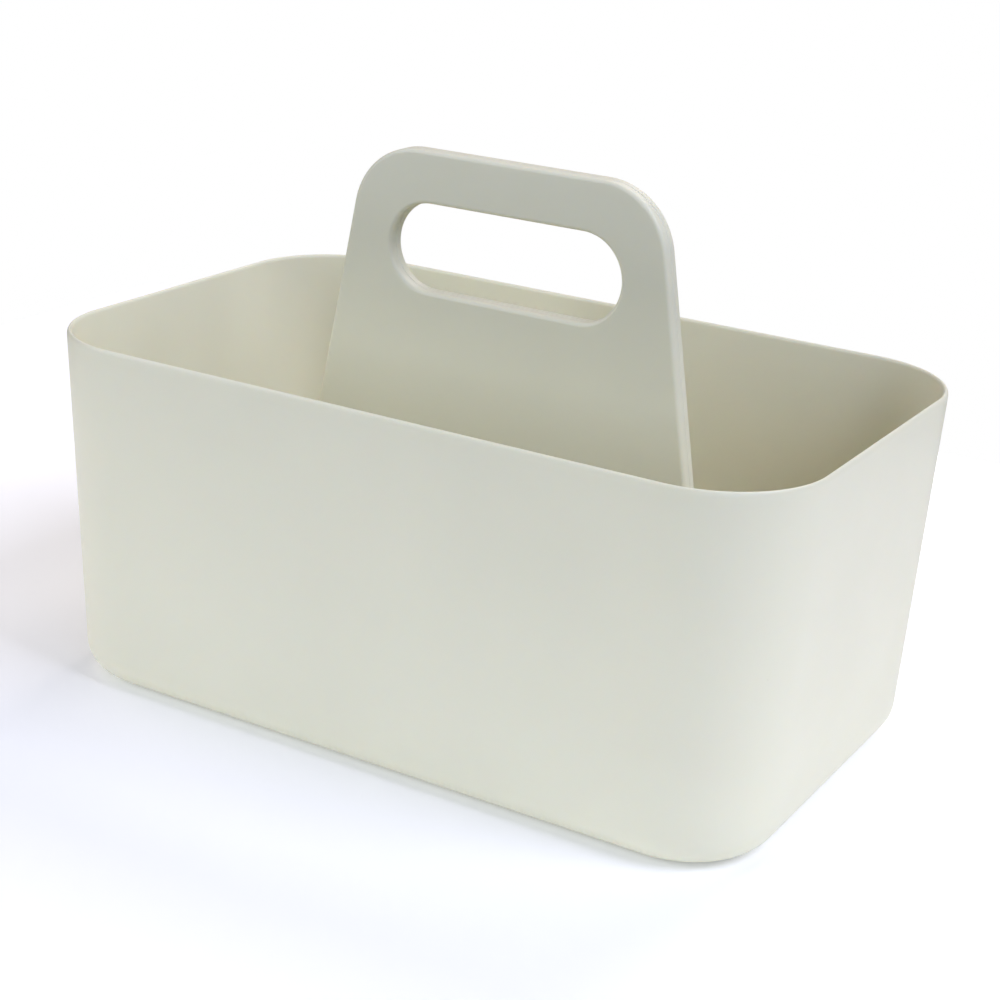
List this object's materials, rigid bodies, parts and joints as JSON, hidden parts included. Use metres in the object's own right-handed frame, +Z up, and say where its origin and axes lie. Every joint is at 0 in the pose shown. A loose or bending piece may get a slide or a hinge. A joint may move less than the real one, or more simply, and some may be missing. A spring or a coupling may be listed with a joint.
{
  "type": "shower caddy",
  "caption": "Open rectangular carry tub with rounded corners and a tall lengthwise handle plate with a hand slot, for taking bottles to the shower.",
  "frame": {"origin": "under the middle of the tub, on the surface that it stands on", "axes": "+X along the length, +Y across the width, +Z up"},
  "size_m": [0.3, 0.183, 0.206],
  "materials": {
    "tub_plastic": "satin",
    "handle_plastic": "satin"
  },
  "bodies": {
    "root": {"tub": "tub_plastic", "handle_front_shell": "handle_plastic", "handle_rear_shell": "handle_plastic"}
  },
  "joints": []
}
